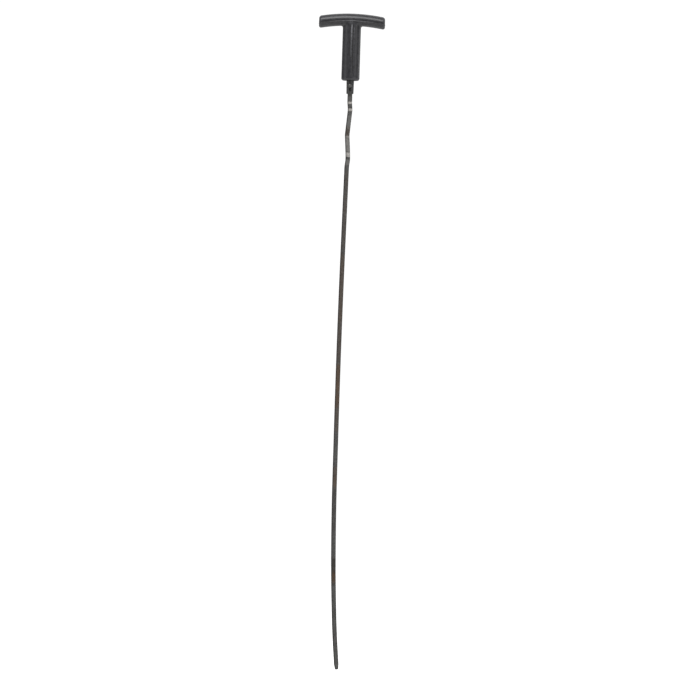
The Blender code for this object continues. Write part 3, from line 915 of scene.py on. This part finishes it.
def blade_route(sizes):
    """Points (drop, bow, twist) down the blade's centreline: straight runs, with a parabola at each bend."""
    bends = [tuple(value * MM for value in bend) for bend in BLADE_BENDS]
    ends = Vector((-sizes.top, 0)), Vector((sizes.end, sizes.tip_bow))
    corners = [ends[0], *(Vector(bend[:2]) for bend in bends), ends[1]]
    route = [corners[0]]
    first_run = corners[1] - corners[0]
    first_bend = bends[0][0] - bends[0][2]
    for step in range(TWIST_STEPS):
        drop = sizes.twist_start + (first_bend - sizes.twist_start) * step / TWIST_STEPS
        route.append(corners[0] + first_run * (drop + sizes.top) / first_run.x)
    for before, corner, after, bend in zip(corners, corners[1:], corners[2:], bends):
        ease = bend[2]
        entry = corner + (before - corner).normalized() * ease
        leave = corner + (after - corner).normalized() * ease
        for step in range(BEND_STEPS + 1):
            t = step / BEND_STEPS
            route.append(entry * (1 - t) ** 2 + corner * 2 * t * (1 - t) + leave * t**2)
    route.append(corners[-1])
    twisted = []
    for point in route:
        part = (point.x - sizes.twist_start) / (sizes.twist_end - sizes.twist_start)
        part = min(max(part, 0.0), 1.0)
        twisted.append((point.x, point.y, sizes.turn * (1 - part * part * (3 - 2 * part))))
    return twisted


def blade_stand(turn):
    """The blade is drawn along X and bows along Y. This stands it on the handle's axis."""
    down = Vector((0, 0, -1))
    outward = Vector((math.sin(turn), -math.cos(turn), 0))
    return Matrix((down, outward, down.cross(outward))).transposed().to_4x4()


def route_object(sizes):
    curve = bpy.data.curves.new("blade_route", "CURVE")
    curve.dimensions = "3D"
    curve.twist_mode = "Z_UP"
    points = blade_route(sizes)
    spline = curve.splines.new("POLY")
    spline.points.add(len(points) - 1)
    for point, (drop, bow, twist) in zip(spline.points, points):
        point.co = (drop, bow, 0, 1)
        point.tilt = math.radians(90.0) + twist
    return add_object("blade_route", curve)


class Nodes(Graph):
    """A geometry node tree, with inputs given as a name and a kind of socket."""

    def __init__(self, name, inputs):
        super().__init__(bpy.data.node_groups.new(name, "GeometryNodeTree"))
        interface = self.tree.interface
        interface.new_socket("Geometry", in_out="INPUT", socket_type="NodeSocketGeometry")
        for label, kind in inputs.items():
            interface.new_socket(label, in_out="INPUT", socket_type="NodeSocket" + kind)
        interface.new_socket("Geometry", in_out="OUTPUT", socket_type="NodeSocketGeometry")
        self.inputs = self.tree.nodes.new("NodeGroupInput").outputs
        self.output = self.tree.nodes.new("NodeGroupOutput")

    def captured(self, geometry, value, label):
        node = self.add("GeometryNodeCaptureAttribute", {"Geometry": geometry}, domain="POINT")
        node.capture_items.new("FLOAT", label)
        self.feed(node.inputs[label], value)
        return node.outputs["Geometry"], node.outputs[label]

    def stored(self, geometry, value, label):
        inputs = {"Geometry": geometry, "Name": label, "Value": value}
        node = self.add("GeometryNodeStoreNamedAttribute", inputs, data_type="FLOAT", domain="POINT")
        return node.outputs["Geometry"]

    def end(self, geometry, material):
        """Ends the tree in Realize Instances and Set Material."""
        real = self.add("GeometryNodeRealizeInstances", {"Geometry": geometry})
        inputs = {"Geometry": real.outputs["Geometry"], "Material": material}
        made = self.add("GeometryNodeSetMaterial", inputs)
        self.feed(self.output.inputs["Geometry"], made.outputs["Geometry"])
        return self.tree


def run_nodes(obj, tree, values):
    """The plain mesh that a node tree makes of an object, with the tree's inputs set by identifier."""
    modifier = obj.modifiers.new(tree.name, "NODES")
    modifier.node_group = tree
    for item in tree.interface.items_tree:
        if item.item_type == "SOCKET" and item.in_out == "INPUT" and item.name in values:
            modifier[item.identifier] = values[item.name]
    mesh = evaluated_mesh(obj)
    obj.modifiers.remove(modifier)
    return mesh


def strip_tree():
    """Sweeps a round-edged strip along a curve, keeping how far along and across it each point lies."""
    kinds = {
        "Width": "Float",
        "Thickness": "Float",
        "Edge Radius": "Float",
        "Corner Points": "Int",
        "Step": "Float",
        "Material": "Material",
    }
    nodes = Nodes("strip_along_route", kinds)
    given = nodes.inputs
    inputs = {"Curve": given["Geometry"], "Length": given["Step"]}
    route = nodes.add("GeometryNodeResampleCurve", inputs, mode="LENGTH")
    travelled = nodes.add("GeometryNodeSplineParameter").outputs["Length"]
    route_curve, along = nodes.captured(route.outputs["Curve"], travelled, "along")

    section = nodes.add(
        "GeometryNodeCurvePrimitiveQuadrilateral", {"Width": given["Width"], "Height": given["Thickness"]}
    )
    inputs = {"Radius": given["Edge Radius"], "Count": given["Corner Points"]}
    inputs["Curve"] = section.outputs["Curve"]
    rounded = nodes.add("GeometryNodeFilletCurve", inputs, mode="POLY")
    place = nodes.add("ShaderNodeSeparateXYZ", {"Vector": nodes.add("GeometryNodeInputPosition").outputs[0]})
    half = nodes.add("ShaderNodeMath", {0: given["Width"], 1: 0.5}, operation="MULTIPLY")
    sideways = nodes.add("ShaderNodeMath", {0: place.outputs["X"], 1: half.outputs[0]}, operation="DIVIDE")
    section_curve, across = nodes.captured(rounded.outputs["Curve"], sideways.outputs[0], "across")

    swept = nodes.add(
        "GeometryNodeCurveToMesh", {"Curve": route_curve, "Profile Curve": section_curve, "Fill Caps": True}
    )
    strip = nodes.stored(swept.outputs["Mesh"], along, "along")
    strip = nodes.stored(strip, across, "across")
    return nodes.end(strip, given["Material"])


def tip_half_width(left, sizes):
    """Half the strip's width at some distance before its end: it narrows, then turns its blunt corners."""
    full = sizes.width / 2
    blunt = sizes.tip_share * full
    if left < sizes.tip_corner:
        past = sizes.tip_corner - left
        return blunt - sizes.tip_corner + math.sqrt(sizes.tip_corner**2 - past**2)
    share_left = min((left - sizes.tip_corner) / (sizes.tip_length - sizes.tip_corner), 1.0)
    return blunt + (full - blunt) * share_left


def shape_tip(mesh, sizes):
    """Narrows the strip's last sections, drawn close together, and eases the edges of its blunt end."""
    points = mesh_points(mesh)
    along = read_values(mesh, "along")
    count = int((along < along.min() + 0.1 * sizes.step).sum())
    rings = points.reshape(-1, count, 3)
    across = read_values(mesh, "across")[:count]
    edge = sizes.edge_radius
    flat = sizes.width / 2 - edge
    heading = rings[-1].mean(0) - rings[-2].mean(0)
    heading /= np.linalg.norm(heading)
    end = rings[-1].mean(0)
    template = rings[-1] - end
    sideways = template[across.argmax()] - template[across.argmin()]
    sideways /= np.linalg.norm(sideways)
    offset = template @ sideways
    rest = template - offset[:, None] * sideways

    def section(left, thickness_kept=1.0):
        keep = (tip_half_width(left, sizes) - edge) / flat
        away = np.abs(offset)
        narrowed = np.sign(offset) * (np.maximum(away - flat, 0) + np.minimum(away, flat) * keep)
        return end - left * heading + thickness_kept * rest + narrowed[:, None] * sideways

    first_left = (sizes.tip_sections - 1) * sizes.step
    for index in range(sizes.tip_sections):
        part = index / (sizes.tip_sections - 1)
        left = edge + (first_left - edge) * part**TIP_CROWDING
        rings[-1 - index] = section(left)
    set_mesh_points(mesh, points)

    bm = bmesh.new()
    bm.from_mesh(mesh)
    bm.verts.ensure_lookup_table()
    rim = bm.verts[len(bm.verts) - count :]
    cap = next(face for face in bm.faces if len(face.verts) == count and set(face.verts) == set(rim))
    bmesh.ops.delete(bm, geom=[cap], context="FACES_ONLY")
    for step in range(1, TIP_EDGE_STEPS + 1):
        turn = math.pi / 2 * step / TIP_EDGE_STEPS
        eased = edge * (1 - math.cos(turn)) / (sizes.thickness / 2)
        places = section(edge * (1 - math.sin(turn)), 1 - eased)
        ring = [bm.verts.new(Vector(place), vert) for place, vert in zip(places, rim)]
        for index in range(count):
            after = (index + 1) % count
            bm.faces.new((rim[index], rim[after], ring[after], ring[index]))
        rim = ring
    peak = bm.verts.new(Vector(end), rim[0])
    for index in range(count):
        bm.faces.new((rim[index], rim[(index + 1) % count], peak))
    bmesh.ops.recalc_face_normals(bm, faces=bm.faces)
    mesh_of(bm, mesh)


class DIPSTICK_OT_blade(bpy.types.Operator):
    """Builds the kinked and twisted steel strip"""

    bl_idname = "dipstick.blade"
    bl_label = "Blade"

    def execute(self, context):
        sizes = context.scene.dipstick_blade
        steel = blade_steel(sizes)
        route = route_object(sizes)
        values = {
            "Width": sizes.width,
            "Thickness": sizes.thickness,
            "Edge Radius": sizes.edge_radius,
            "Corner Points": sizes.corner_points,
            "Step": sizes.step,
            "Material": steel,
        }
        mesh = run_nodes(route, strip_tree(), values)
        bpy.data.objects.remove(route, do_unlink=True)
        shape_tip(mesh, sizes)
        mesh.transform(blade_stand(sizes.turn))
        add_piece("blade_strip", mesh, steel, "blade")
        return {"FINISHED"}


# ---- the studio


# How bright the soft studio is at its foot, at its top, and at places between them from 0 to 1.
SURROUND_FOOT = 0.50
SURROUND_TOP = 0.70
SURROUND_BETWEEN = ((0.38, 0.45), (0.46, 0.16), (0.51, 0.16), (0.60, 0.48))
BACKDROP_STRENGTH = 1.05


def softbox(name, place, aim, size, power):
    light = bpy.data.lights.new(name, "AREA")
    light.shape = "RECTANGLE"
    light.size, light.size_y = size
    light.energy = power
    obj = add_object(name, light)
    obj.location = place
    obj.rotation_euler = (Vector(aim) - Vector(place)).to_track_quat("-Z", "Y").to_euler()
    obj.visible_camera = False


def floor_paint():
    """Matt and nearly white, lifted towards the backdrop's white where it is seen directly."""
    recipe = Recipe("pale_floor")
    seen = recipe.add("ShaderNodeLightPath").outputs["Is Camera Ray"]
    recipe.feed(recipe.shader.inputs["Emission Strength"], recipe.times(seen, 0.5))
    return recipe.shade(grey(0.9), 0.9, Specular_IOR_Level=0.1, Emission_Color=grey(1.0))


def studio_world():
    """White behind the object, and round it a soft studio: pale above and below, darker at eye level."""
    world = bpy.data.worlds.new("studio")
    world.use_nodes = True
    bpy.context.scene.world = world
    graph = Graph(world.node_tree)
    heading = graph.add("ShaderNodeTexCoord").outputs["Generated"]
    height = graph.add("ShaderNodeSeparateXYZ", {"Vector": heading}).outputs["Z"]
    rise = graph.add("ShaderNodeMapRange", {"Value": height, "From Min": -1.0}).outputs["Result"]
    ramp = graph.add("ShaderNodeValToRGB", {"Fac": rise})
    stops = ramp.color_ramp.elements
    stops[0].color = grey(SURROUND_FOOT)
    stops[1].color = grey(SURROUND_TOP)
    for place, level in SURROUND_BETWEEN:
        stops.new(place).color = grey(level)
    surround = graph.tree.nodes["Background"]
    graph.feed(surround.inputs["Color"], ramp.outputs["Color"])
    backdrop = graph.add("ShaderNodeBackground", {"Color": grey(1.0), "Strength": BACKDROP_STRENGTH})
    inputs = {
        "Fac": graph.add("ShaderNodeLightPath").outputs["Is Camera Ray"],
        1: surround.outputs["Background"],
        2: backdrop.outputs["Background"],
    }
    mix = graph.add("ShaderNodeMixShader", inputs)
    graph.feed(graph.tree.nodes["World Output"].inputs["Surface"], mix.outputs["Shader"])


class DIPSTICK_OT_studio(bpy.types.Operator):
    """Sets the floor, the soft lights and the camera"""

    bl_idname = "dipstick.studio"
    bl_label = "Studio"

    def execute(self, context):
        sizes = context.scene.dipstick_studio
        scene = context.scene
        scene.view_settings.view_transform = "Standard"
        scene.view_settings.look = "None"

        floor_height = BLADE_LOW.z - sizes.floor_drop
        bm = bmesh.new()
        bmesh.ops.create_circle(bm, cap_ends=True, segments=96, radius=sizes.floor_radius)
        bmesh.ops.translate(bm, vec=(0, 0, floor_height), verts=bm.verts)
        floor = add_object("floor", mesh_of(bm, "floor"))
        floor.data.materials.append(floor_paint())

        aim = (sizes.aim_x, 0, sizes.aim_z)
        key, side = sizes.key_power, sizes.side_power
        softbox("key_softbox", (-0.2, -0.96, 1.32), (0, 0, -0.05), (1.7, 0.85), key)
        softbox("back_softbox", (0.4, 1.3, 1.2), (0, 0, -0.1), (1.2, 0.8), 0.09 * key)
        softbox("left_softbox", (-1.5, -0.6, 0.1), aim, (0.5, 1.4), 0.5 * side)
        softbox("right_softbox", (1.4, -1.0, 0.1), aim, (0.6, 1.4), 0.7 * side)
        softbox("rim_softbox", (1.35, 0.75, 0.1), aim, (0.6, 1.4), 0.7 * side)
        studio_world()

        camera = bpy.data.cameras.new("camera")
        camera.sensor_width = sizes.sensor
        camera.lens = sizes.sensor * sizes.distance / sizes.view_width
        camera.clip_end = 50.0
        obj = add_object("camera", camera)
        place = Matrix.Translation((sizes.aim_x, -sizes.distance, sizes.aim_z))
        level = Matrix.Rotation(math.radians(90.0), 4, "X")
        obj.matrix_world = place @ level @ Matrix.Rotation(sizes.roll, 4, "Z")
        scene.camera = obj
        return {"FINISHED"}


class DIPSTICK_PT_panel(bpy.types.Panel):
    """Lists the dipstick's pieces"""

    bl_idname = "DIPSTICK_PT_panel"
    bl_label = "Dipstick"
    bl_space_type = "VIEW_3D"
    bl_region_type = "UI"
    bl_category = "Dipstick"

    def draw(self, context):
        for operator in OPERATORS:
            self.layout.operator(operator.bl_idname)


SETTINGS = {
    "dipstick_handle": HandleSettings,
    "dipstick_carrier": CarrierSettings,
    "dipstick_seals": SealSettings,
    "dipstick_rivet": RivetSettings,
    "dipstick_blade": BladeSettings,
    "dipstick_studio": StudioSettings,
}
OPERATORS = (
    DIPSTICK_OT_handle,
    DIPSTICK_OT_carrier,
    DIPSTICK_OT_seals,
    DIPSTICK_OT_rivet,
    DIPSTICK_OT_blade,
    DIPSTICK_OT_studio,
)
CLASSES = (*SETTINGS.values(), *OPERATORS, DIPSTICK_PT_panel)


def register():
    for cls in CLASSES:
        bpy.utils.register_class(cls)
    for name, settings in SETTINGS.items():
        setattr(bpy.types.Scene, name, PointerProperty(type=settings))


def unregister():
    for name in SETTINGS:
        delattr(bpy.types.Scene, name)
    for cls in reversed(CLASSES):
        bpy.utils.unregister_class(cls)


def main():
    register()
    bpy.ops.dipstick.handle()
    bpy.ops.dipstick.carrier()
    bpy.ops.dipstick.seals()
    bpy.ops.dipstick.rivet()
    bpy.ops.dipstick.blade()
    bpy.ops.dipstick.studio()


if __name__ == "__main__":
    main()
